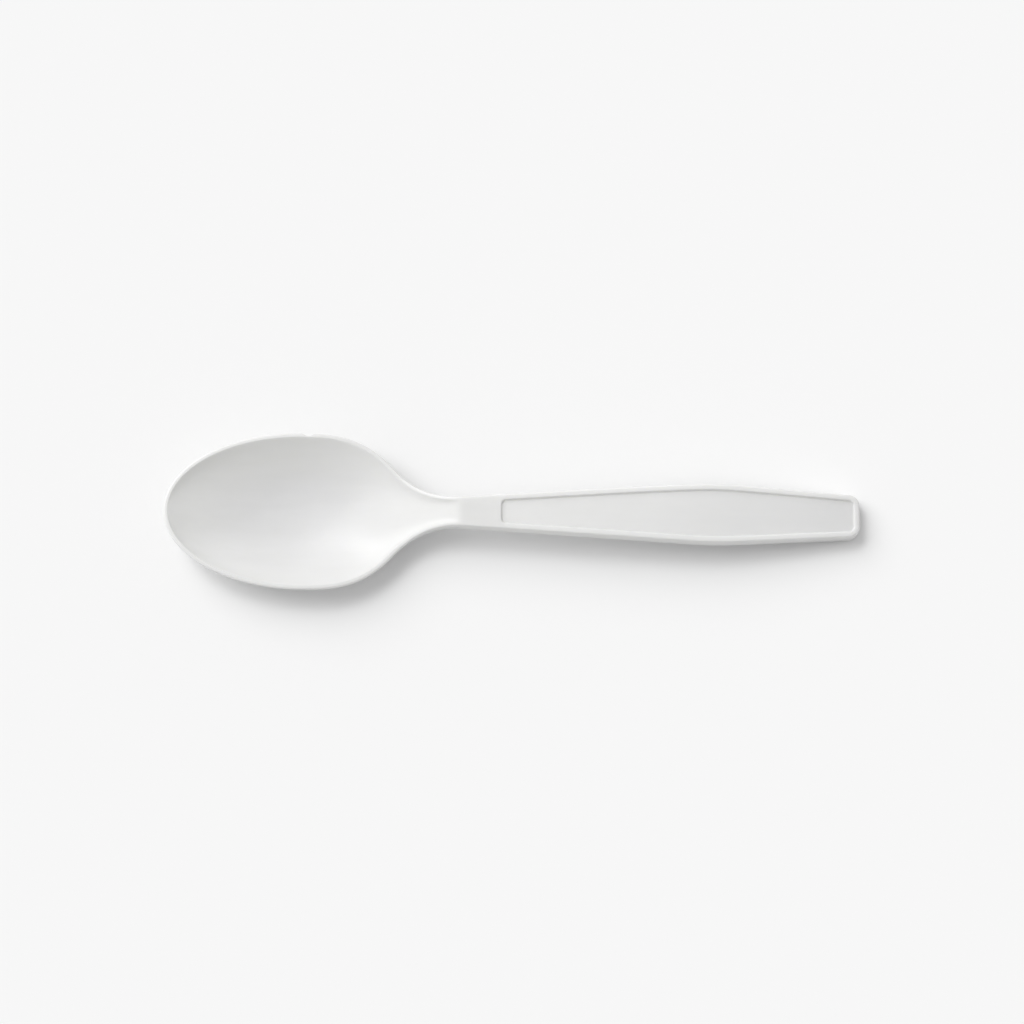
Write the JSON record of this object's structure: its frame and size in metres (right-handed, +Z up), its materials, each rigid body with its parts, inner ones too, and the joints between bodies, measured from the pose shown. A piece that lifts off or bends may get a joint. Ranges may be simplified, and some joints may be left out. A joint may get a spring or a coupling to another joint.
{
  "type": "plastic teaspoon",
  "caption": "Disposable teaspoon moulded in white plastic: egg-shaped bowl, narrow neck and a slim handle with side skirts and a sunken panel with a raised border",
  "frame": {"origin": "on the surface the spoon lies on, under the middle of its length and of its width", "axes": "+X from the bowl's tip to the handle's tail, +Y across the spoon, +Z up out of the bowl"},
  "size_m": [0.15, 0.0339, 0.0086],
  "materials": {
    "white_plastic": "smooth moulded white plastic with a soft sheen"
  },
  "bodies": {
    "root": {"spoon": "white_plastic"}
  },
  "joints": []
}
